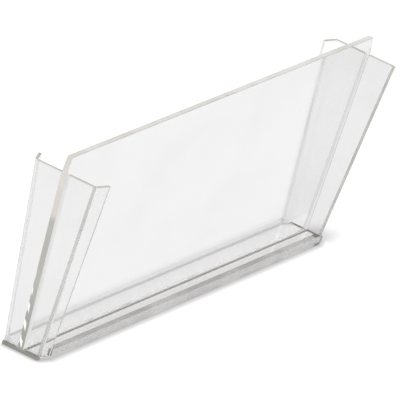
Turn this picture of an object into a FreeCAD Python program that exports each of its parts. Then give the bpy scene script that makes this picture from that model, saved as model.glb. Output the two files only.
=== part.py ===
import FreeCAD, Part

"""Clear acrylic magazine rack: a divider panel on a base plate, four bent wings and a front lip.

Millimetres. +X runs along the rack, +Y to the rear, +Z up. The origin is the middle of the base's
underside. Every piece is cut from flat sheet, and the pieces are cemented face to face, so nothing moves.
"""

import math
import os

import Sketcher

DIMENSIONS = [
    # alias, value, what it is
    ("rack_height", 215.0, "top edge of the divider above the table"),
    ("wing_drop", 18.0, "top edges of the wings below the divider's top edge"),
    ("foot_length", 595.0, "divider and base plate, end to end, at the base"),
    ("end_flare", 20.0, "each end of the divider, out from the base to the level of the wings' tops"),
    ("shoulder_setback", 3.5, "each end of the divider, in again from there to its top edge"),
    ("divider_sheet", 6.0, "thickness of the divider"),
    ("base_sheet", 3.0, "thickness of the base plate"),
    ("wing_sheet", 3.0, "thickness of the wings"),
    ("lip_sheet", 6.0, "thickness of the front lip"),
    ("lip_rise", 7.0, "height of the front lip above the base plate"),
    ("lip_gap", 0.3, "space between each end of the lip and the flange beside it"),
    ("web_inset", 3.5, "outer face of each wing, in from the divider's end"),
    ("foot_depth", 41.0, "over the bends of the front and rear wings, at the base"),
    ("bend_flare", 14.8, "each bend, out from the divider between the base and the wings' tops"),
    ("flange_foot_width", 14.0, "flange, bend to free edge, at the base"),
    ("flange_top_width", 19.5, "flange, bend to free edge, at its top"),
    ("flange_splay", 18.5, "degrees that a flange leans out from the rack's long direction"),
    ("bend_radius", 0.8, "inside radius of each wing's bend"),
    ("base_ledge", 1.0, "base plate outside the flanges' outer faces"),
    ("bead_leg", 2.0, "cement bead along the foot of the divider"),
    ("bead_hollow", 2.8, "radius of that bead's hollow face"),
    ("bead_clearance", 0.3, "notch in each wing around that bead"),
    ("wing_bead_leg", 1.5, "cement bead up each wing's joint with the divider"),
    ("arris", 0.4, "chamfer on the divider's exposed long edges"),
]

# Formulas that more than one piece uses, in the spreadsheet's names.
SPLAY_SIN = "sin(sheet.flange_splay * 1deg)"
SPLAY_COS = "cos(sheet.flange_splay * 1deg)"
DIVIDER_FACE = "sheet.divider_sheet / 2"
WING_HEIGHT = "(sheet.rack_height - sheet.wing_drop)"
SHOULDER = "(sheet.foot_length / 2 + sheet.end_flare)"
WEB_FOOT = "(sheet.foot_length / 2 - sheet.web_inset)"
WEB_TOP = f"({SHOULDER} - sheet.web_inset)"
BEND_FOOT = "(sheet.foot_depth / 2)"
BEND_TOP = f"({BEND_FOOT} + sheet.bend_flare)"
BASE_FRONT = f"({BEND_FOOT} + sheet.flange_foot_width * {SPLAY_SIN} + sheet.base_ledge)"
BASE_END = (f"({BEND_FOOT} + sheet.base_ledge / {SPLAY_COS}"
            f" - sheet.web_inset * {SPLAY_SIN} / {SPLAY_COS})")
LIP_END = (f"({WEB_FOOT} - sheet.flange_foot_width * {SPLAY_COS}"
           f" - sheet.wing_sheet * {SPLAY_SIN} - sheet.lip_gap)")

SIDES = {"left": -1, "right": 1}
FACES = {"front": -1, "rear": 1}


def make_sheet(doc):
    """Write the driving dimensions into the spreadsheet, one row each."""
    sheet = doc.addObject("Spreadsheet::Sheet", "sheet")
    for row, (alias, value, meaning) in enumerate(DIMENSIONS, start=1):
        sheet.set(f"A{row}", meaning)
        sheet.set(f"B{row}", str(value))
        sheet.setAlias(f"B{row}", alias)
    doc.recompute()
    return sheet


def new_body(doc, label):
    """Add an empty body that carries the piece's name."""
    body = doc.addObject("PartDesign::Body", label)
    body.Label = label
    body.Placement = FreeCAD.Placement()
    return body


def origin_plane(body, role):
    """Find one of a body's own origin planes."""
    return next(item for item in body.Origin.OriginFeatures if item.Role == role)


def outline(body, name, role, corners, level=None):
    """Draw a closed outline on an origin plane, with each corner held by a pair of formulas.

    A corner is (across, up), or (across, up, centre, radius) where an arc about centre leads to the
    next corner. level lifts the sketch along its normal. Sketch axes follow the plane: X, Y on XY_Plane;
    X, Z on XZ_Plane; Y, Z on YZ_Plane.
    """
    sketch = new_sketch(body, name, role, level)
    doc = body.Document
    ends = [point_at(doc, corner[:2]) for corner in corners]
    joins = []
    for index, corner in enumerate(corners):
        following = ends[(index + 1) % len(ends)]
        if len(corner) > 2:
            joins.append(draw_arc(sketch, ends[index], following, point_at(doc, corner[2]), corner[3]))
        else:
            sketch.addGeometry(Part.LineSegment(ends[index], following), False)
            joins.append((1, 2))
    for index, corner in enumerate(corners):
        following = (index + 1) % len(corners)
        sketch.addConstraint(Sketcher.Constraint("Coincident", index, joins[index][1],
                                                 following, joins[following][0]))
        hold_point(sketch, index, joins[index][0], corner[:2], ends[index])
    return sketch


def new_sketch(body, name, role, level=None):
    """Attach an empty sketch to one of the body's origin planes."""
    sketch = body.newObject("Sketcher::SketchObject", name)
    sketch.AttachmentSupport = [(origin_plane(body, role), "")]
    sketch.MapMode = "FlatFace"
    if level:
        sketch.setExpression("AttachmentOffset.Base.z", level)
    return sketch


def draw_arc(sketch, start, end, centre, radius):
    """Add the short arc from start to end about centre, and tell which of its ends each one is."""
    spokes = (start - centre, end - centre)
    turns_left = spokes[0].cross(spokes[1]).z > 0
    first, last = spokes if turns_left else reversed(spokes)
    circle = Part.Circle(centre, FreeCAD.Vector(0, 0, 1), first.Length)
    angles = [math.atan2(spoke.y, spoke.x) for spoke in (first, last)]
    if angles[1] < angles[0]:
        angles[1] += 2 * math.pi
    place = sketch.addGeometry(Part.ArcOfCircle(circle, *angles), False)
    hold_radius(sketch, place, radius, first.Length)
    return (1, 2) if turns_left else (2, 1)


def hold_point(sketch, geometry, end, formulas, point):
    """Hold one point of a sketch at two formulas from the sketch's origin."""
    for kind, formula, value in zip(("DistanceX", "DistanceY"), formulas, point):
        place = sketch.addConstraint(Sketcher.Constraint(kind, -1, 1, geometry, end, value))
        sketch.setExpression(f"Constraints[{place}]", formula)


def hold_radius(sketch, geometry, formula, value):
    """Hold the radius of a sketch's arc or circle at a formula."""
    place = sketch.addConstraint(Sketcher.Constraint("Radius", geometry, value))
    sketch.setExpression(f"Constraints[{place}]", formula)


def point_at(doc, formulas):
    """Work out a point from its pair of formulas."""
    return FreeCAD.Vector(value_of(doc, formulas[0]), value_of(doc, formulas[1]), 0)


def value_of(doc, formula):
    """Work out a formula's value from the spreadsheet."""
    return float(doc.getObject("sheet").evalExpression(formula.replace("sheet.", "")))


def pad_both_ways(body, sketch, length):
    """Thicken an outline equally to both sides of its plane."""
    pad = body.newObject("PartDesign::Pad", "Pad")
    pad.Profile = sketch
    pad.SideType = "Symmetric"
    pad.setExpression("Length", length)
    body.Document.recompute()
    return pad


def divider_panel(doc):
    """Upright panel: its ends flare out to the wings' tops and turn in above them."""
    body = new_body(doc, "divider_panel")
    half = [("sheet.foot_length / 2", "sheet.base_sheet"),
            (SHOULDER, WING_HEIGHT),
            (f"({SHOULDER} - sheet.shoulder_setback)", "sheet.rack_height")]
    points = half + [(f"-{x}", z) for x, z in reversed(half)]
    pad = pad_both_ways(body, outline(body, "Profile", "XZ_Plane", points), "sheet.divider_sheet")
    foot = value_of(doc, "sheet.base_sheet")
    edges = [f"Edge{number}" for number, edge in enumerate(pad.Shape.Edges, start=1)
             if not crosses_sheet(edge) and rises_above(edge, foot)]
    chamfer = body.newObject("PartDesign::Chamfer", "Arris")
    chamfer.Base = (pad, edges)
    chamfer.setExpression("Size", "sheet.arris")
    doc.recompute()
    return body


def rises_above(edge, level):
    """Tell whether any of an edge lies above a level."""
    return edge.BoundBox.ZMax > level + 1e-6


def crosses_sheet(edge):
    """Tell whether an edge runs through the sheet's thickness."""
    return edge.BoundBox.YLength > 1e-6


def base_plate(doc):
    """Flat plate under everything, with its corners cut along the flanges."""
    body = new_body(doc, "base_plate")
    corner_x = f"(sheet.foot_length / 2 - ({BASE_FRONT} - {BASE_END}) * {SPLAY_COS} / {SPLAY_SIN})"
    corner = [("sheet.foot_length / 2", BASE_END), (corner_x, BASE_FRONT)]
    right = [(x, f"-{y}") for x, y in reversed(corner)] + corner
    points = right + [(f"-{x}", y) for x, y in reversed(right)]
    sketch = outline(body, "Outline", "XY_Plane", points)
    pad = body.newObject("PartDesign::Pad", "Pad")
    pad.Profile = sketch
    pad.setExpression("Length", "sheet.base_sheet")
    doc.recompute()
    return body


def front_lip(doc):
    """Bar that stands on the base plate's front edge, between the front wings' flanges."""
    body = new_body(doc, "front_lip")
    top = "(sheet.base_sheet + sheet.lip_rise)"
    back = f"-({BASE_FRONT} - sheet.lip_sheet)"
    points = [(f"-{BASE_FRONT}", "sheet.base_sheet"), (back, "sheet.base_sheet"),
              (back, top), (f"-{BASE_FRONT}", top)]
    pad_both_ways(body, outline(body, "Section", "YZ_Plane", points), f"2 * {LIP_END}")
    return body


def wing_section(side, face, web, bend, width):
    """Corners of a wing's level section, from the divider round the bend to the free edge and back."""
    outer_radius = "(sheet.bend_radius + sheet.wing_sheet)"
    centre = (f"({web} - {outer_radius})",
              f"({bend} - {outer_radius} * (1 - {SPLAY_SIN}) / {SPLAY_COS})")
    free = (f"({web} - {width} * {SPLAY_COS})", f"({bend} + {width} * {SPLAY_SIN})")

    def off(point, distance):
        """Move a point square to the flange, away from the pocket."""
        return f"({point[0]} + {distance} * {SPLAY_SIN})", f"({point[1]} + {distance} * {SPLAY_COS})"

    inner_web = f"({web} - sheet.wing_sheet)"
    quarter = [(web, DIVIDER_FACE), (web, centre[1], centre, outer_radius),
               off(centre, outer_radius), free, off(free, "-sheet.wing_sheet"),
               (*off(centre, "sheet.bend_radius"), centre, "sheet.bend_radius"),
               (inner_web, centre[1]), (inner_web, DIVIDER_FACE)]
    return [mirrored(corner, side, face) for corner in quarter]


def mirrored(corner, side, face):
    """Put a corner of the front or rear, left or right quarter in its place, with its arc."""
    place = (f"{side} * {corner[0]}", f"{face} * {corner[1]}")
    return (*place, mirrored(corner[2], side, face), corner[3]) if len(corner) > 2 else place


def loft(body, lower, upper):
    """Join two level sections with flat faces."""
    feature = body.newObject("PartDesign::AdditiveLoft", "Loft")
    feature.Profile = lower
    feature.Sections = [upper]
    feature.Ruled = True
    body.Document.recompute()
    return feature


def wing(doc, face_name, side_name):
    """Bent sheet: a web across the pocket's end, and a flange that turns in to hold the magazines."""
    side, face = SIDES[side_name], FACES[face_name]
    body = new_body(doc, f"{face_name}_{side_name}_wing")
    lower = wing_section(side, face, WEB_FOOT, BEND_FOOT, "sheet.flange_foot_width")
    upper = wing_section(side, face, WEB_TOP, BEND_TOP, "sheet.flange_top_width")
    loft(body, outline(body, "Foot", "XY_Plane", lower, "sheet.base_sheet"),
         outline(body, "Top", "XY_Plane", upper, WING_HEIGHT))
    notch_for_bead(body, face)
    return body


def notch_for_bead(body, face):
    """Cut the corner of a wing that would stand on the bead along the divider's foot."""
    reach = "(sheet.bead_leg + sheet.bead_clearance)"
    far_y = f"{face} * ({DIVIDER_FACE} + {reach})"
    near_y = f"{face} * ({DIVIDER_FACE} - sheet.bead_clearance)"
    low_z = "(sheet.base_sheet - sheet.bead_clearance)"
    high_z = f"(sheet.base_sheet + {reach})"
    points = [(near_y, low_z), (far_y, low_z), (far_y, high_z), (near_y, high_z)]
    pocket = body.newObject("PartDesign::Pocket", "BeadNotch")
    pocket.Profile = outline(body, "Notch", "YZ_Plane", points)
    pocket.SideType = "Symmetric"
    pocket.Type = "Length"
    pocket.setExpression("Length", "2 * sheet.foot_length")
    body.Document.recompute()
    return pocket


def base_bead(doc, face_name):
    """Hollow-faced bead of cement in the corner between the divider and the base plate."""
    face = FACES[face_name]
    body = new_body(doc, f"{face_name}_base_bead")
    root_y = f"{face} * {DIVIDER_FACE}"
    toe_y = f"{face} * ({DIVIDER_FACE} + sheet.bead_leg)"
    crest_z = "(sheet.base_sheet + sheet.bead_leg)"
    sketch = outline(body, "Section", "YZ_Plane",
                     [(root_y, "sheet.base_sheet"), (toe_y, "sheet.base_sheet"), (root_y, crest_z)])
    pad = pad_both_ways(body, sketch, "sheet.foot_length")
    return hollow_out(body, pad, face)


def hollow_out(body, pad, face):
    """Groove a bead's sloping face along its length with a round cutter."""
    sketch = new_sketch(body, "Cutter", "YZ_Plane")
    half_chord = "(sheet.bead_leg / sqrt(2))"
    back_off = f"(sqrt(sheet.bead_hollow ^ 2 - {half_chord} ^ 2) / sqrt(2))"
    centre_y = f"{face} * ({DIVIDER_FACE} + sheet.bead_leg / 2 + {back_off})"
    centre_z = f"(sheet.base_sheet + sheet.bead_leg / 2 + {back_off})"
    doc = body.Document
    centre = point_at(doc, (centre_y, centre_z))
    radius = value_of(doc, "sheet.bead_hollow")
    sketch.addGeometry(Part.Circle(centre, FreeCAD.Vector(0, 0, 1), radius), False)
    hold_point(sketch, 0, 3, (centre_y, centre_z), centre)
    hold_radius(sketch, 0, "sheet.bead_hollow", radius)
    pocket = body.newObject("PartDesign::Pocket", "Hollow")
    pocket.Profile = sketch
    pocket.SideType = "Symmetric"
    pocket.Type = "Length"
    pocket.setExpression("Length", "2 * sheet.foot_length")
    doc.recompute()
    if pocket.Shape.Volume >= pad.Shape.Volume:
        raise RuntimeError(f"{body.Label}: the hollow cut nothing")
    return body


def wing_bead(doc, face_name, side_name):
    """Thin bead of cement up the inner corner between a wing and the divider."""
    side, face = SIDES[side_name], FACES[face_name]
    body = new_body(doc, f"{face_name}_{side_name}_wing_bead")

    def section(web):
        """Corners of the bead's level section where the wing's outer face is at web."""
        corner_x = f"({web} - sheet.wing_sheet)"
        quarter = [(corner_x, DIVIDER_FACE), (corner_x, f"({DIVIDER_FACE} + sheet.wing_bead_leg)"),
                   (f"({corner_x} - sheet.wing_bead_leg)", DIVIDER_FACE)]
        return [mirrored(corner, side, face) for corner in quarter]

    start = "(sheet.base_sheet + sheet.bead_leg + sheet.bead_clearance)"
    rise = f"(({start} - sheet.base_sheet) / ({WING_HEIGHT} - sheet.base_sheet))"
    web_start = f"({WEB_FOOT} + ({WEB_TOP} - {WEB_FOOT}) * {rise})"
    loft(body, outline(body, "Foot", "XY_Plane", section(web_start), start),
         outline(body, "Top", "XY_Plane", section(WEB_TOP), WING_HEIGHT))
    return body


def check(doc, pieces):
    """Stop if any feature failed or any piece isn't one sound solid."""
    for item in doc.Objects:
        if any(word in ("Invalid", "Error") for word in item.State):
            raise RuntimeError(f"{item.Name} in {item.Label}: {item.State}")
    for piece in pieces:
        shape = piece.Shape
        if shape.isNull() or not shape.isValid() or len(shape.Solids) != 1:
            raise RuntimeError(f"{piece.Label} isn't one valid solid")


def main():
    """Build every piece, check them and write one file for each."""
    doc = FreeCAD.newDocument("magazine_rack")
    make_sheet(doc)
    pieces = [divider_panel(doc), base_plate(doc), front_lip(doc)]
    pieces += [wing(doc, face, side) for face in FACES for side in SIDES]
    pieces += [base_bead(doc, face) for face in FACES]
    pieces += [wing_bead(doc, face, side) for face in FACES for side in SIDES]
    doc.recompute()
    check(doc, pieces)
    os.makedirs("parts", exist_ok=True)
    for piece in pieces:
        piece.Shape.exportStep(os.path.join("parts", f"{piece.Label}.step"))
        box = piece.Shape.BoundBox
        size = " x ".join(f"{length:.1f}" for length in (box.XLength, box.YLength, box.ZLength))
        print(f"{piece.Label}: {piece.Shape.Volume:.0f} mm3, {size}")


main()
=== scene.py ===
"""Clear acrylic magazine rack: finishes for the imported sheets, a pale studio and a camera."""

import logging
import math
from dataclasses import dataclass
from enum import Enum
from typing import Any, Callable, Union

import bpy
from mathutils import Matrix, Vector


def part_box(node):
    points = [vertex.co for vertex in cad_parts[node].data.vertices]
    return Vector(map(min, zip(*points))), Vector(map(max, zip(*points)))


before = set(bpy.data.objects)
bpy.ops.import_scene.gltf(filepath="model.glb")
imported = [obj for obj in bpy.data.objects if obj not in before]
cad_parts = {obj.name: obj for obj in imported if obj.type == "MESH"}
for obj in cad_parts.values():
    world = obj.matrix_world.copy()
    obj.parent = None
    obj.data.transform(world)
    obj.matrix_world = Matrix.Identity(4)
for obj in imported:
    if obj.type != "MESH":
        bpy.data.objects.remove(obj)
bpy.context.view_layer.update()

LOG = logging.getLogger("magazine_rack")
NEAR = 0.00005
SQUARE = 0.9
LEANING = 0.5
ACRYLIC_INDEX = 1.49

Colour = tuple[float, float, float]
Input = Union["Term", float, tuple]
MIX_FACTOR, MIX_FIRST, MIX_SECOND, MIX_RESULT = 0, 6, 7, 2  # a colour Mix node's own sockets


class Term:
    """A shader socket that can be used in Python arithmetic."""

    def __init__(self, graph: "Graph", socket: bpy.types.NodeSocket) -> None:
        """Wrap a socket of a graph.

        Args:
            graph: the graph that new Math nodes go into.
            socket: the output socket to wrap.
        """
        self.graph = graph
        self.socket = socket

    def math(self, operation: str, *others: Input) -> "Term":
        """Pass this value through a Math node.

        Args:
            operation: the Math node's operation.
            others: its second and third inputs.

        Returns:
            The node's result.
        """
        return self.graph.node("ShaderNodeMath", {"operation": operation}, self, *others)

    def __add__(self, other: Input) -> "Term":
        """Add."""
        return self.math("ADD", other)

    __radd__ = __add__

    def __mul__(self, other: Input) -> "Term":
        """Multiply."""
        return self.math("MULTIPLY", other)

    __rmul__ = __mul__

    def __sub__(self, other: Input) -> "Term":
        """Subtract."""
        return self.math("SUBTRACT", other)

    def __rsub__(self, other: float) -> "Term":
        """Subtract from a number."""
        return self.graph.node("ShaderNodeMath", {"operation": "SUBTRACT"}, other, self)

    def __truediv__(self, other: Input) -> "Term":
        """Divide."""
        return self.math("DIVIDE", other)

    def __abs__(self) -> "Term":
        """Drop the sign."""
        return self.math("ABSOLUTE")

    def __gt__(self, other: Input) -> "Term":
        """Give 1 where this is greater, else 0."""
        return self.math("GREATER_THAN", other)

    def __lt__(self, other: Input) -> "Term":
        """Give 1 where this is less, else 0."""
        return self.math("LESS_THAN", other)

    def larger(self, other: Input) -> "Term":
        """Take the larger value."""
        return self.math("MAXIMUM", other)

    def ramp(self, low: float, high: float) -> "Term":
        """Rise smoothly from 0 at low to 1 at high.

        Args:
            low: where the rise starts.
            high: where it ends; below low for a fall.

        Returns:
            The eased value.
        """
        ends = {"interpolation_type": "SMOOTHSTEP"}
        if low < high:
            return self.graph.node("ShaderNodeMapRange", ends, self, low, high, 0.0, 1.0)
        return self.graph.node("ShaderNodeMapRange", ends, self, high, low, 1.0, 0.0)


class Graph:
    """A material's or world's node tree, built from Python expressions."""

    def __init__(self, owner: Union[bpy.types.Material, bpy.types.World]) -> None:
        """Start an empty tree.

        Args:
            owner: the material or world that holds the tree.
        """
        owner.use_nodes = True
        self.tree = owner.node_tree
        self.tree.nodes.clear()

    def node(self, kind: str, settings: dict[str, Any], *inputs: Input, **named: Input) -> Term:
        """Add a node.

        Args:
            kind: the node's type.
            settings: properties, set before any socket.
            inputs: values or links for its first sockets, in order; None leaves one alone.
            named: values or links by socket name, with _ for a space; out names the output.

        Returns:
            The node's first output, or the one that out names.
        """
        made = self.tree.nodes.new(kind)
        out = named.pop("out", None)
        for name, value in settings.items():
            setattr(made, name, value)
        sockets = [socket for socket in made.inputs if socket.enabled]
        pairs = [(socket, value) for socket, value in zip(sockets, inputs)]
        pairs += [(next(s for s in sockets if s.name == name.replace("_", " ")), value)
                  for name, value in named.items()]
        for socket, value in pairs:
            if isinstance(value, Term):
                self.tree.links.new(value.socket, socket)
            elif value is not None:
                socket.default_value = value
        outputs = [socket for socket in made.outputs if socket.enabled and out in (None, socket.name)]
        return Term(self, outputs[0] if outputs else None)

    def split(self, vector: Term) -> tuple[Term, Term, Term]:
        """Give a vector's three parts.

        Args:
            vector: the vector to split.

        Returns:
            Its X, Y and Z.
        """
        first = self.node("ShaderNodeSeparateXYZ", {}, vector)
        outputs = first.socket.node.outputs
        return first, Term(self, outputs[1]), Term(self, outputs[2])

    def times(self, vector: Term, scale: Colour) -> Term:
        """Multiply a vector by another, part by part."""
        return self.node("ShaderNodeVectorMath", {"operation": "MULTIPLY"}, vector, scale)

    def mix_colour(self, factor: Input, first: Input, second: Input) -> Term:
        """Blend two colours.

        Args:
            factor: 0 for the first, 1 for the second.
            first: a colour.
            second: a colour.

        Returns:
            The blend.
        """
        made = self.tree.nodes.new("ShaderNodeMix")
        made.data_type = "RGBA"
        places = (MIX_FACTOR, MIX_FIRST, MIX_SECOND)
        for socket, value in zip((made.inputs[place] for place in places), (factor, first, second)):
            if isinstance(value, Term):
                self.tree.links.new(value.socket, socket)
            else:
                socket.default_value = (*value, 1.0) if isinstance(value, tuple) else value
        return Term(self, made.outputs[MIX_RESULT])

    def blend(self, factor: Input, first: Term, second: Term) -> Term:
        """Mix two shaders: the first where the factor is 0, the second where it is 1."""
        return self.node("ShaderNodeMixShader", {}, factor, first, second)

    def finish(self, shader: Term, kind: str = "ShaderNodeOutputMaterial") -> None:
        """Send a shader to the output.

        Args:
            shader: the last shader.
            kind: the output node's type.
        """
        self.node(kind, {}, shader)


@dataclass(frozen=True)
class Layout:
    """Where the sheets stand, in metres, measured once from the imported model."""

    base_top: float
    wing_top: float
    divider_face: float
    web_foot: float
    web_lean: float
    bend_foot: float
    bend_lean: float
    base_front: float
    base_end: float
    base_half: float
    lip_end: float
    lip_back: float
    wing_sheet: float = 0.003
    splay: float = math.radians(18.5)
    flange_foot: float = 0.014
    base_bead: float = 0.002
    wing_bead: float = 0.0015

    @classmethod
    def read(cls) -> "Layout":
        """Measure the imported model.

        Returns:
            The measurements.
        """
        base_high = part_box("base_plate")[1]
        lip_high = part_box("front_lip")[1]
        wing_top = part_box("front_right_wing")[1].z
        corners = [vertex.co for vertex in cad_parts["front_right_wing"].data.vertices]
        rows = [[co for co in corners if abs(co.z - level) < NEAR] for level in (base_high.z, wing_top)]
        webs = [max(abs(co.x) for co in row) for row in rows]
        bends = [max(abs(co.y) for co in row if abs(abs(co.x) - web) < NEAR)
                 for row, web in zip(rows, webs)]
        plate = [vertex.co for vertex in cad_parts["base_plate"].data.vertices]
        rise = wing_top - base_high.z
        return cls(base_top=base_high.z, wing_top=wing_top, divider_face=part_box("divider_panel")[1].y,
                   web_foot=webs[0], web_lean=(webs[1] - webs[0]) / rise,
                   bend_foot=bends[0], bend_lean=(bends[1] - bends[0]) / rise,
                   base_front=base_high.y, base_half=base_high.x,
                   base_end=max(co.y for co in plate if co.x > base_high.x - NEAR),
                   lip_end=lip_high.x, lip_back=-lip_high.y)


@dataclass(frozen=True)
class Clouds:
    """Cloudy patches: how many to the metre, how finely broken up, and where they thin out and fill in."""

    scale: float
    detail: float
    thin: float = 0.0
    full: float = 1.0
    stretch: Colour = (1.0, 1.0, 1.0)


SAWN_ACROSS = Clouds(1500.0, 2.0, 0.35, 0.75, (1.0, 0.15, 1.0))
SAWN_ALONG = Clouds(1500.0, 2.0, 0.35, 0.75, (0.02, 1.0, 1.0))


@dataclass(frozen=True)
class Specks:
    """Scattered round specks: how many to the metre, their size in their spacing, and their strength."""

    scale: float
    size: float
    weight: float
    soft_edge: float = 0.6


class Surface:
    """Place and facing on a piece, in the rack's axes, for working out masks."""

    def __init__(self, graph: Graph) -> None:
        """Add the nodes that give place and facing.

        Args:
            graph: the material's graph.
        """
        self.graph = graph
        self.place = graph.node("ShaderNodeTexCoord", {}, out="Object")
        self.x, self.y, self.z = graph.split(self.place)
        normal = graph.node("ShaderNodeNewGeometry", {}, out="True Normal")
        self.level_x, self.level_y, self.level_z = (abs(part) for part in graph.split(normal))
        self.outside = 1.0 - Term(graph, normal.socket.node.outputs["Backfacing"])

    def across(self, layout: Layout) -> Term:
        """Distance along the rack from the middle, with the webs' lean taken out."""
        return abs(self.x) - (self.z - layout.base_top) * layout.web_lean

    def noise(self, clouds: Clouds) -> Term:
        """Give the bare noise behind some clouds, around 0.5."""
        return self.graph.node("ShaderNodeTexNoise", {}, self.graph.times(self.place, clouds.stretch),
                               Scale=clouds.scale, Detail=clouds.detail, out="Fac")

    def clouds(self, clouds: Clouds) -> Term:
        """Give 1 in a cloud, 0 between clouds, and the soft edge between."""
        return self.noise(clouds).ramp(clouds.thin, clouds.full)

    def specks(self, specks: Specks) -> Term:
        """Give the specks' strength inside a speck, else 0."""
        away = self.graph.node("ShaderNodeTexVoronoi", {}, self.place, Scale=specks.scale, out="Distance")
        return away.ramp(specks.size, specks.size * specks.soft_edge) * specks.weight


@dataclass(frozen=True)
class Touch:
    """A colour laid over part of a finish."""

    mask: Term
    colour: Colour


TouchRule = Callable[[Surface], Touch]


def within(term: Term, low: float, high: float) -> Term:
    """Give 1 where a term lies between two numbers, else 0."""
    return (term > low) * (term < high)


@dataclass(frozen=True)
class ClearSheet:
    """Polished clear acrylic, with faint smears, specks and rubbed patches."""

    clean: Colour
    smeared: Colour
    smears: Clouds = Clouds(7.0, 5.0, 0.42, 0.68, (1.0, 1.0, 1.8))
    dirt: Specks = Specks(95.0, 0.05, 0.35)
    dirt_colour: Colour = (0.62, 0.61, 0.58)
    rubs: Clouds = Clouds(420.0, 2.0, 0.7, 0.78, (0.06, 1.0, 1.0))
    rub_roughness: float = 0.12
    inner_tint: tuple[float, float, float, float] = (0.991, 0.990, 0.985, 1.0)

    def shader(self, at: Surface, *touches: Touch) -> Term:
        """Make the shader.

        Args:
            at: place and facing.
            touches: tones laid over parts of the sheet.

        Returns:
            The shader.
        """
        graph = at.graph
        colour = graph.mix_colour(at.clouds(self.smears), self.clean, self.smeared)
        colour = graph.mix_colour(at.specks(self.dirt), colour, self.dirt_colour)
        for touch in touches:
            colour = graph.mix_colour(touch.mask, colour, touch.colour)
        return graph.node("ShaderNodeBsdfPrincipled", {}, Base_Color=colour, IOR=ACRYLIC_INDEX,
                          Roughness=at.clouds(self.rubs) * self.rub_roughness, Transmission_Weight=1.0,
                          Specular_Tint=self.inner_tint)


class Cut(Enum):
    """How an edge of a sheet was finished, as the roughness it is left with."""

    SAWN = 0.34
    FLAMED = 0.14


@dataclass(frozen=True)
class CutEdge:
    """A cut edge, lit a little from inside the sheet, with saw marks and a mottled tone."""

    light: Colour
    dark: Colour
    cut: Cut = Cut.SAWN
    glow: float = 0.2
    marks: Clouds = SAWN_ACROSS
    mottle: Clouds = Clouds(22.0, 4.0, 0.36, 0.66)
    chips: Specks = Specks(60.0, 0.09, 0.5)
    chip_colour: Colour = (0.30, 0.28, 0.24)
    groove_colour: Colour = (0.25, 0.25, 0.22)
    groove_weight: float = 0.16
    groove_depth: float = 0.0001
    groove_strength: float = 0.3
    groove_roughness: float = 0.2

    def shader(self, at: Surface, *touches: Touch) -> Term:
        """Make the shader.

        Args:
            at: place and facing.
            touches: tones laid over parts of the edge.

        Returns:
            The shader.
        """
        graph = at.graph
        saw = at.noise(self.marks)
        grooves = saw.ramp(self.marks.thin, self.marks.full)
        colour = graph.mix_colour(at.clouds(self.mottle), self.light, self.dark)
        for touch in touches:
            colour = graph.mix_colour(touch.mask, colour, touch.colour)
        colour = graph.mix_colour(at.specks(self.chips), colour, self.chip_colour)
        colour = graph.mix_colour(grooves * self.groove_weight, colour, self.groove_colour)
        bump = graph.node("ShaderNodeBump", {}, Strength=self.groove_strength,
                          Distance=self.groove_depth, Height=saw)
        return graph.node("ShaderNodeBsdfPrincipled", {}, Base_Color=colour, IOR=ACRYLIC_INDEX,
                          Roughness=saw * self.groove_roughness + self.cut.value, Normal=bump,
                          Emission_Color=colour, Emission_Strength=self.glow)


@dataclass(frozen=True)
class Cement:
    """A joint wetted with solvent cement, clear or milky, with a faint stain and tiny bubbles; the milky
    part and its flecks are a painted glow.
    """

    milk_glow: float = 0.0
    milk_colour: Colour = (0.80, 0.80, 0.79)
    clear: Colour = (0.985, 0.985, 0.985)
    stain: Colour = (0.90, 0.89, 0.90)
    patches: Clouds = Clouds(30.0, 2.0, 0.5, 0.7)
    bubbles: Specks = Specks(160.0, 0.16, 0.2)
    bubble: Colour = (0.60, 0.60, 0.60)
    fleck_weight: float = 0.2

    def shader(self, at: Surface) -> Term:
        """Make the shader.

        Args:
            at: place and facing.

        Returns:
            The shader.
        """
        graph = at.graph
        patches = at.clouds(self.patches)
        clear, stain, bubble = (graph.node("ShaderNodeBsdfTransparent", {}, (*colour, 1.0))
                                for colour in (self.clear, self.stain, self.bubble))
        wet = graph.blend(at.specks(self.bubbles), graph.blend(patches, clear, stain), bubble)
        if not self.milk_glow:
            return wet
        # painted light: the milky cement and its flecks are Emission, glowing whatever the lamps
        milk_glow, fleck = (graph.node("ShaderNodeEmission", {}, (*colour, 1.0), 1.0)
                       for colour in (self.milk_colour, self.bubble))
        return graph.blend(self.milk_glow, wet, graph.blend(patches * self.fleck_weight, milk_glow, fleck))


WET_JOINT = Cement()
MILKY_JOINT = Cement(0.9)
GREY_JOINT = Cement(0.9, (0.60, 0.59, 0.57))


class Coat:
    """One piece's material while its finishes are laid over each other."""

    def __init__(self, piece: str, sheet: ClearSheet, *touches: TouchRule) -> None:
        """Start a material.

        Args:
            piece: the CAD node it is for.
            sheet: the clear sheet under everything else.
            touches: functions that give a touch for the sheet from a surface.
        """
        self.piece = piece
        self.made = bpy.data.materials.new(piece)
        self.graph = Graph(self.made)
        self.surface = Surface(self.graph)
        self.shader = sheet.shader(self.surface, *(rule(self.surface) for rule in touches))

    def lay(self, mask: Input, shader: Term) -> None:
        """Lay a finish over what is there already.

        Args:
            mask: where it goes.
            shader: the finish.
        """
        self.shader = self.graph.blend(mask, self.shader, shader)

    def put_on(self) -> None:
        """Give the finished material to its piece."""
        self.graph.finish(self.shader)
        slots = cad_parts[self.piece].data.materials
        slots.clear()
        slots.append(self.made)
        LOG.info("dressed %s", self.piece)


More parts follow.
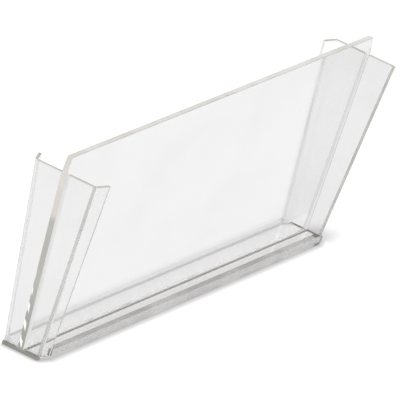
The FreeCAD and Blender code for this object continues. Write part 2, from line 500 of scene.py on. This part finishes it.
@dataclass(frozen=True)
class Divider:
    """The upright panel down the middle of the rack."""

    layout: Layout
    pale_below: float = 0.026
    pale_fade: float = 0.008
    pale: Colour = (0.895, 0.895, 0.895)
    arris: float = 0.0014
    arris_weight: float = 0.35
    glow_above: float = 0.149
    glow_fade: float = 0.006
    dim_weight: float = 0.66
    foot_dim: tuple[float, float] = (0.09, 0.02)
    foot_dim_weight: float = 0.3
    facets_below: float = 0.110
    facet_pitch: float = 0.0175
    facet_width: float = 0.0040
    facet_slope: float = 2.2
    facet_gap: float = 0.6
    unevenness: Clouds = Clouds(140.0, 2.0)
    unevenness_height: float = 0.008
    sheet: ClearSheet = ClearSheet((0.81, 0.81, 0.813), (0.785, 0.785, 0.79))
    top: CutEdge = CutEdge((0.88, 0.86, 0.83), (0.76, 0.74, 0.68), Cut.FLAMED, 0.15)
    end: CutEdge = CutEdge((0.70, 0.655, 0.615), (0.62, 0.585, 0.55), Cut.FLAMED, 0.15)
    shaded_top: Colour = (0.20, 0.20, 0.18)
    shaded_end: Colour = (0.31, 0.32, 0.295)
    # painted highlight: the bright facets on the ends stand in for glints of light refracted through the
    # joint
    facet_glint: Colour = (1.0, 1.0, 0.98)

    def dress(self) -> None:
        """Finish the panel: clear faces, ivory cut edges and the joints with its neighbours."""
        coat = Coat("divider_panel", self.sheet, self.pale_foot)
        at, lay = coat.surface, self.layout
        cut = (at.z > lay.base_top + NEAR) * at.outside
        arris = abs(at.y).ramp(lay.divider_face - self.arris, lay.divider_face) * self.arris_weight
        coat.lay(cut * (at.level_z > LEANING), self.top.shader(at, Touch(arris, self.shaded_top)))
        coat.lay(cut * (at.level_x > LEANING), self.end.shader(
            at, Touch(self.dim(at), self.shaded_end), Touch(self.facet_glints(at), self.facet_glint)))
        coat.lay(self.foot_joint(at), WET_JOINT.shader(at))
        coat.lay(self.wing_joints(at), MILKY_JOINT.shader(at))
        coat.put_on()

    def pale_foot(self, at: Surface) -> Touch:
        """Give the paler tone of the panel's foot, where the base throws light up into it."""
        return Touch(at.z.ramp(self.pale_below, self.pale_below - self.pale_fade), self.pale)

    def dim(self, at: Surface) -> Term:
        """Mark the ends' lower part, where little light comes out."""
        above = at.z.ramp(self.glow_above + self.glow_fade, self.glow_above - self.glow_fade)
        return above * self.dim_weight + at.z.ramp(*self.foot_dim) * self.foot_dim_weight

    def facet_glints(self, at: Surface) -> Term:
        """Mark the painted highlights: bright slanting facet glints in the rear half of each end's lower
        part, standing in for light refracted through the cemented joint.

        Args:
            at: place and facing.

        Returns:
            The mask.
        """
        width = at.z.ramp(self.facets_below, 0.0) * self.facet_width
        strip = at.y > self.layout.divider_face - width
        wobble = at.noise(self.unevenness) * self.unevenness_height
        turns = (at.z + wobble - at.y * self.facet_slope) / self.facet_pitch
        return strip * (turns.math("FRACT") > self.facet_gap) * (at.z < self.facets_below)

    def foot_joint(self, at: Surface) -> Term:
        """Mark the cemented foot: its underside and the strips behind the two beads.

        Args:
            at: place and facing.

        Returns:
            The mask.
        """
        lay = self.layout
        under = (at.level_z > SQUARE) * (at.z < lay.base_top + NEAR)
        return under.larger((at.level_y > SQUARE) * (at.z < lay.base_top + lay.base_bead))

    def wing_joints(self, at: Surface) -> Term:
        """Mark the strips cemented to the four webs and their beads.

        Args:
            at: place and facing.

        Returns:
            The mask.
        """
        lay = self.layout
        strips = within(at.across(lay), lay.web_foot - lay.wing_sheet - lay.wing_bead, lay.web_foot)
        return (at.level_y > SQUARE) * strips * within(at.z, lay.base_top + lay.base_bead, lay.wing_top)


@dataclass(frozen=True)
class Base:
    """The base plate, the lip along its front and the beads at the divider's foot."""

    layout: Layout
    # painted shade: a dark line under the rear edge and a darker strip on the plate's top in front of the
    # divider
    shade_line_width: float = 0.0032
    strip_shade: Colour = (0.52, 0.515, 0.51)
    shade_line_weight: float = 0.9
    strip_weight: float = 0.85
    far_end: float = 0.010
    # a darker tone laid over the right-hand end of the front edges
    right_end_dark: Colour = (0.14, 0.13, 0.12)
    right_end_dark_weight: float = 0.85
    face_shade_weight: float = 0.55
    bead_shade: Colour = (0.40, 0.39, 0.375)
    bead_shade_from: float = 0.6
    bead_shade_to: float = 0.4
    sheet: ClearSheet = ClearSheet((0.985, 0.985, 0.985), (0.96, 0.96, 0.96))
    # painted shade: the lip is the same clear acrylic as the plate, tinted darker and its face painted grey
    # for how it shows in this light
    shaded_lip_sheet: ClearSheet = ClearSheet((0.66, 0.655, 0.655), (0.60, 0.59, 0.59))
    end: CutEdge = CutEdge((0.30, 0.295, 0.27), (0.22, 0.215, 0.195))
    side: CutEdge = CutEdge((0.58, 0.56, 0.54), (0.46, 0.445, 0.43), marks=SAWN_ALONG)
    face: CutEdge = CutEdge((0.56, 0.55, 0.57), (0.48, 0.47, 0.49), Cut.FLAMED, 0.1, SAWN_ALONG)
    # painted reflection: the rear cut edge is painted near-white and glowing, for the bright floor it
    # mirrors from inside the plate
    rear: CutEdge = CutEdge((0.95, 0.95, 0.95), (0.85, 0.85, 0.85), Cut.FLAMED, 0.6, SAWN_ALONG)
    # painted highlight: the beads' faces are painted pale, standing in for a glint along their upper half
    bead: CutEdge = CutEdge((0.90, 0.88, 0.85), (0.80, 0.78, 0.75), Cut.FLAMED, 0.1, SAWN_ALONG)

    def dress(self) -> None:
        """Finish the plate, the lip and the two beads."""
        self.dress_plate()
        self.dress_lip()
        for face in ("front", "rear"):
            self.dress_bead(f"{face}_base_bead")

    def darker_right_end(self, at: Surface) -> Touch:
        """Give a darker tone at the right-hand end of the front."""
        right_front = (at.x > self.layout.lip_end - self.far_end) * (at.y < 0.0)
        return Touch(right_front * self.right_end_dark_weight, self.right_end_dark)

    def shaded_strips(self, at: Surface) -> Touch:
        """Give the painted shade: a dark line under the plate's rear edge and a darker strip in front of
        the divider.

        Args:
            at: place and facing.

        Returns:
            The touch.
        """
        lay = self.layout
        under = (at.z < NEAR) * (at.y > lay.base_front - self.shade_line_width)
        strip = (at.y < -lay.divider_face - lay.base_bead) * (at.z > lay.base_top - NEAR)
        return Touch((under * self.shade_line_weight).larger(strip * self.strip_weight), self.strip_shade)

    def dress_plate(self) -> None:
        """Finish the plate: clear, with painted shade in dark strips and darker sawn ends."""
        coat = Coat("base_plate", self.sheet, self.shaded_strips)
        at, lay = coat.surface, self.layout
        long_edge = (at.level_z < SQUARE) * (at.level_x < LEANING)
        short_edge = (at.level_x > LEANING).larger(abs(at.x) > lay.web_foot)
        # painted reflection: the rear long edge is painted bright, seen from both sides
        coat.lay(long_edge * (at.y > 0.0), self.rear.shader(at))
        coat.lay(long_edge * at.outside, self.side.shader(at, self.darker_right_end(at)))
        coat.lay(short_edge * at.outside, self.end.shader(at))
        coat.lay(self.plate_joints(at), WET_JOINT.shader(at))
        coat.put_on()

    def plate_joints(self, at: Surface) -> Term:
        """Mark the plate's top under the divider, the lip and the wings' feet.

        Args:
            at: place and facing.

        Returns:
            The mask.
        """
        lay = self.layout
        depth, inboard = abs(at.y), lay.web_foot - abs(at.x)
        middle = depth < lay.divider_face + lay.base_bead
        lip = (at.y < -lay.lip_back) * (abs(at.x) < lay.lip_end)
        web = within(inboard, 0.0, lay.wing_sheet) * (depth < lay.bend_foot)
        beyond = depth - lay.bend_foot
        run = inboard * math.cos(lay.splay) + beyond * math.sin(lay.splay)
        stand_off = beyond * math.cos(lay.splay) - inboard * math.sin(lay.splay)
        flange = within(run, 0.0, lay.flange_foot) * within(stand_off, -lay.wing_sheet, 0.0)
        top = (at.level_z > SQUARE) * (at.z > lay.base_top - NEAR)
        return top * middle.larger(lip).larger(web).larger(flange)

    def dress_lip(self) -> None:
        """Finish the lip: a clear face tinted and painted darker as painted shade, matt sawn top and dark
        ends.
        """
        coat = Coat("front_lip", self.shaded_lip_sheet)
        at, lay = coat.surface, self.layout
        front = (at.level_y > SQUARE) * (at.y < -lay.lip_back) * at.outside
        top = (at.level_z > LEANING) * (at.z > lay.base_top + lay.wing_sheet) * at.outside
        coat.lay(front * self.face_shade_weight, self.face.shader(at))
        coat.lay(top, self.side.shader(at, self.darker_right_end(at)))
        coat.lay((at.level_x > LEANING) * at.outside, self.end.shader(at))
        coat.lay((at.level_z > SQUARE) * (at.z < lay.base_top + NEAR), WET_JOINT.shader(at))
        coat.put_on()

    def dress_bead(self, piece: str) -> None:
        """Finish a bead along the divider's foot: a painted highlight above, painted shade where it meets
        the plate.

        Args:
            piece: the bead's CAD node.
        """
        coat = Coat(piece, self.sheet)
        at, lay = coat.surface, self.layout
        low = at.z.ramp(lay.base_top + self.bead_shade_from * lay.base_bead,
                        lay.base_top + self.bead_shade_to * lay.base_bead)
        coat.lay(at.outside, self.bead.shader(at, Touch(low, self.bead_shade)))
        coat.lay((at.level_x > SQUARE) * at.outside, self.end.shader(at))
        back = (abs(at.y) < lay.divider_face + NEAR) * (at.level_y > SQUARE)
        coat.lay(back.larger(at.z < lay.base_top + NEAR), WET_JOINT.shader(at))
        coat.put_on()


class Corner(Enum):
    """The four wings."""

    FRONT_LEFT = "front_left"
    FRONT_RIGHT = "front_right"
    REAR_LEFT = "rear_left"
    REAR_RIGHT = "rear_right"


@dataclass(frozen=True)
class Wing:
    """One bent end wing and the bead up its joint with the divider."""

    layout: Layout
    corner: Corner
    sheet: ClearSheet
    seam: Cement = MILKY_JOINT
    seam_width: float = 0.0018
    frosted_edge: bool = False
    bend_reach: float = 0.0008
    bend_weight: float = 0.75
    bend: CutEdge = CutEdge((0.50, 0.50, 0.47), (0.42, 0.42, 0.39), Cut.FLAMED, 0.1)
    top: CutEdge = CutEdge((0.44, 0.43, 0.38), (0.34, 0.335, 0.29), Cut.SAWN, 0.5)
    side: CutEdge = CutEdge((0.72, 0.72, 0.70), (0.60, 0.60, 0.58), Cut.FLAMED, 0.5)
    rim: Colour = (0.50, 0.50, 0.47)
    foot_rim: tuple[float, float] = (0.0012, 0.0004)
    foot_rim_weight: float = 0.8
    crest_rim: tuple[float, float] = (0.0018, 0.0006)
    crest_rim_weight: float = 0.5
    bead_milk: float = 0.8

    def dress(self) -> None:
        """Finish the wing and its bead."""
        self.dress_sheet()
        self.dress_bead()

    def dull_rims(self, at: Surface) -> Touch:
        """Give the tone of the sheet's faces just above its foot and just below its top.

        Args:
            at: place and facing.

        Returns:
            The touch.
        """
        foot = at.z.ramp(*(self.layout.base_top + height for height in self.foot_rim))
        crest = at.z.ramp(*(self.layout.wing_top - depth for depth in self.crest_rim))
        tone = (foot * self.foot_rim_weight).larger(crest * self.crest_rim_weight)
        return Touch(tone, self.rim)

    def dress_sheet(self) -> None:
        """Finish the sheet: clear, a line at the bend, cut edges and joints."""
        coat = Coat(f"{self.corner.value}_wing", self.sheet, self.dull_rims)
        at, lay = coat.surface, self.layout
        across, depth, upright = at.across(lay), abs(at.y), at.level_z < LEANING
        inboard = lay.web_foot - across
        corner = (at.z - lay.base_top) * lay.bend_lean + lay.bend_foot
        crease = (inboard < self.bend_reach) * (depth > corner - self.bend_reach) * upright
        free = (inboard > 2.0 * lay.wing_sheet) * (at.level_x > LEANING) * upright
        top = (at.level_z > LEANING) * (at.z > lay.base_top + lay.wing_sheet) * at.outside
        under = (at.level_z > SQUARE) * (at.z < lay.base_top + NEAR)
        butt = depth < lay.divider_face + NEAR
        beaded = (depth < lay.divider_face + lay.wing_bead) * (across < lay.web_foot - NEAR)
        coat.lay(crease * at.outside * self.bend_weight, self.bend.shader(at))
        coat.lay(free if self.frosted_edge else free * at.outside, self.side.shader(at))
        coat.lay(top, self.top.shader(at))
        coat.lay(under, WET_JOINT.shader(at))
        coat.lay(butt.larger(beaded), MILKY_JOINT.shader(at))
        coat.lay(butt * (inboard < self.seam_width), self.seam.shader(at))
        coat.put_on()

    def dress_bead(self) -> None:
        """Finish the bead up the joint."""
        coat = Coat(f"{self.corner.value}_wing_bead", self.sheet)
        coat.lay(self.bead_milk, MILKY_JOINT.shader(coat.surface))
        coat.put_on()


# painted light and shade: one clear acrylic, tinted dimmer or brighter wing by wing
DIM_SHEET = ClearSheet((0.79, 0.79, 0.79), (0.765, 0.765, 0.77))
SOFT_SHEET = ClearSheet((0.80, 0.80, 0.80), (0.775, 0.775, 0.78))
PALE_SHEET = ClearSheet((0.95, 0.95, 0.95), (0.925, 0.925, 0.93))
BRIGHT_SHEET = ClearSheet((0.96, 0.96, 0.96), (0.935, 0.935, 0.94))
PALE_BEND = CutEdge((0.82, 0.82, 0.81), (0.72, 0.72, 0.71), Cut.FLAMED, 0.1)
DARK_EDGE = CutEdge((0.60, 0.60, 0.58), (0.48, 0.48, 0.455), Cut.FLAMED, 0.1)
FAINT_BEND, LIGHT_BEND, STRONG_BEND = 0.3, 0.35, 0.85


def make_wings(layout: Layout) -> tuple[Wing, ...]:
    """Choose each wing's edges and its painted tone: the wings are one clear acrylic, tinted lighter or
    darker as painted light and shade for how each shows in this studio's light.

    Args:
        layout: where the sheets stand.

    Returns:
        The wings.
    """
    return (Wing(layout, Corner.FRONT_LEFT, PALE_SHEET, frosted_edge=True),
            Wing(layout, Corner.FRONT_RIGHT, DIM_SHEET, GREY_JOINT, bend_weight=FAINT_BEND, side=DARK_EDGE),
            Wing(layout, Corner.REAR_LEFT, SOFT_SHEET, bend_weight=STRONG_BEND, bend=PALE_BEND),
            Wing(layout, Corner.REAR_RIGHT, BRIGHT_SHEET, GREY_JOINT, bend_weight=LIGHT_BEND))


@dataclass(frozen=True)
class Floor:
    """A pale glowing floor, with a painted pool of brighter glow under the rack's foot and the painted soft
    shadow that gathers round it.
    """

    layout: Layout
    half: float = 6.0
    drop: float = 0.0004
    glow: float = 1.15
    open_share: float = 0.9
    paint: tuple[float, float, float, float] = (0.05, 0.05, 0.05, 1.0)
    inset: float = 0.002
    contact: float = 0.0115
    contact_depth: float = 0.52
    trail: float = 0.06
    trail_width: float = 0.026
    trail_middle: float = -0.012
    trail_core: float = 0.004
    trail_depth: float = 0.4

    def lay_down(self) -> None:
        """Build the floor and its material."""
        mesh = bpy.data.meshes.new("floor")
        signs = ((-1, -1), (1, -1), (1, 1), (-1, 1))
        mesh.from_pydata([(x * self.half, y * self.half, 0) for x, y in signs], [], [(0, 1, 2, 3)])
        floor = bpy.data.objects.new("floor", mesh)
        floor.location.z = -self.drop
        bpy.context.scene.collection.objects.link(floor)
        made = bpy.data.materials.new("floor")
        graph = Graph(made)
        at = Surface(graph)
        away = self.away(at)
        # painted light: the floor under the rack's foot glows brighter than the open floor
        colour = graph.mix_colour(away > 0.0, (1.0, 1.0, 1.0), (self.open_share,) * 3)
        colour = graph.mix_colour(self.shade(at, away), colour, (0.0, 0.0, 0.0))
        graph.finish(graph.node("ShaderNodeBsdfPrincipled", {}, Base_Color=self.paint, Roughness=1.0,
                                Specular_IOR_Level=0.0, Emission_Color=colour,
                                Emission_Strength=self.glow))
        mesh.materials.append(made)

    def away(self, at: Surface) -> Term:
        """Measure how far a place is from just inside the outline of the rack's foot.

        Args:
            at: place on the floor.

        Returns:
            The distance, 0 under the foot.
        """
        lay = self.layout
        slope = math.tan(lay.splay)
        corner = lay.base_half - (lay.base_front - lay.base_end) / slope
        edge = (lay.base_front - self.inset) - (abs(at.x) - corner).larger(0.0) * slope
        past_side = (abs(at.y) - edge).larger(0.0)
        past_end = (abs(at.x) - (lay.base_half - self.inset)).larger(0.0)
        return (past_end * past_end + past_side * past_side).math("SQRT")

    def shade(self, at: Surface, away: Term) -> Term:
        """Work out the soft shadow in front of the foot and past its right-hand end.

        Args:
            at: place on the floor.
            away: distance from the foot.

        Returns:
            How dark it is, from 0 to 1.
        """
        lay = self.layout
        close = away.ramp(self.contact, 0.0) * (away > 0.0) * (at.y < lay.base_end)
        along = (at.x - lay.web_foot).ramp(self.trail, 0.0) * (at.x > lay.base_half)
        trail = along * abs(at.y - self.trail_middle).ramp(self.trail_width, self.trail_core)
        return (close * self.contact_depth).larger(trail * self.trail_depth)


@dataclass(frozen=True)
class Studio:
    """Floor, soft lights and the camera."""

    floor: Floor
    azimuth: float = -66.71
    elevation: float = 20.69
    roll: float = 16.95
    distance: float = 12.0
    lens: float = 1090.8
    aim_right: float = 0.0347
    aim_up: float = 0.08924
    sun_power: float = 1.6
    sun_spread: float = 60.0
    sun_tilt: tuple[float, float] = (15.0, -20.0)
    horizon: Colour = (1.0, 1.0, 1.0)
    overhead: Colour = (0.3, 0.3, 0.3)
    horizon_fade: tuple[float, float] = (0.10, 0.42)
    far_clip: float = 100.0
    bounces: int = 96

    def build(self) -> None:
        """Set up the light paths, floor, camera, lamp and surroundings."""
        scene = bpy.context.scene
        scene.view_settings.view_transform = "Standard"
        scene.cycles.max_bounces = self.bounces
        scene.cycles.glossy_bounces = self.bounces
        scene.cycles.transmission_bounces = self.bounces
        scene.cycles.transparent_max_bounces = self.bounces // 2
        self.floor.lay_down()
        self.set_camera()
        self.hang_light()
        self.surround()
        LOG.info("set up the studio")

    def set_camera(self) -> None:
        """Place the camera a long way off, with a long lens, turned about its axis."""
        turn, lift, roll = (math.radians(angle) for angle in (self.azimuth, self.elevation, self.roll))
        back = Vector((math.sin(turn) * math.cos(lift), -math.cos(turn) * math.cos(lift), math.sin(lift)))
        right = Vector((0, 0, 1)).cross(back).normalized()
        up = back.cross(right)
        rolled_right = right * math.cos(roll) + up * math.sin(roll)
        rolled_up = up * math.cos(roll) - right * math.sin(roll)
        data = bpy.data.cameras.new("camera")
        data.lens = self.lens
        data.clip_end = self.far_clip
        eye = bpy.data.objects.new("camera", data)
        place = rolled_right * self.aim_right + rolled_up * self.aim_up + back * self.distance
        facing = Matrix((rolled_right, rolled_up, back)).transposed().to_4x4()
        eye.matrix_world = Matrix.Translation(place) @ facing
        bpy.context.scene.collection.objects.link(eye)
        bpy.context.scene.camera = eye

    def hang_light(self) -> None:
        """Hang a broad soft light high on the left."""
        data = bpy.data.lights.new("high_light", "SUN")
        data.energy = self.sun_power
        data.angle = math.radians(self.sun_spread)
        lamp = bpy.data.objects.new("high_light", data)
        lamp.rotation_euler = (*(math.radians(angle) for angle in self.sun_tilt), 0.0)
        bpy.context.scene.collection.objects.link(lamp)

    def surround(self) -> None:
        """Surround the studio with a room, white near the floor and greyer above."""
        room = bpy.data.worlds.new("room")
        bpy.context.scene.world = room
        graph = Graph(room)
        lift = graph.split(graph.node("ShaderNodeTexCoord", {}, out="Generated"))[2]
        colour = graph.mix_colour(lift.ramp(*self.horizon_fade), self.horizon, self.overhead)
        graph.finish(graph.node("ShaderNodeBackground", {}, colour, 1.0), "ShaderNodeOutputWorld")


def main() -> None:
    """Dress every sub-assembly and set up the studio."""
    logging.basicConfig(level=logging.INFO, format="%(message)s")
    layout = Layout.read()
    Divider(layout).dress()
    Base(layout).dress()
    for wing in make_wings(layout):
        wing.dress()
    Studio(Floor(layout)).build()


if __name__ == "__main__":
    main()
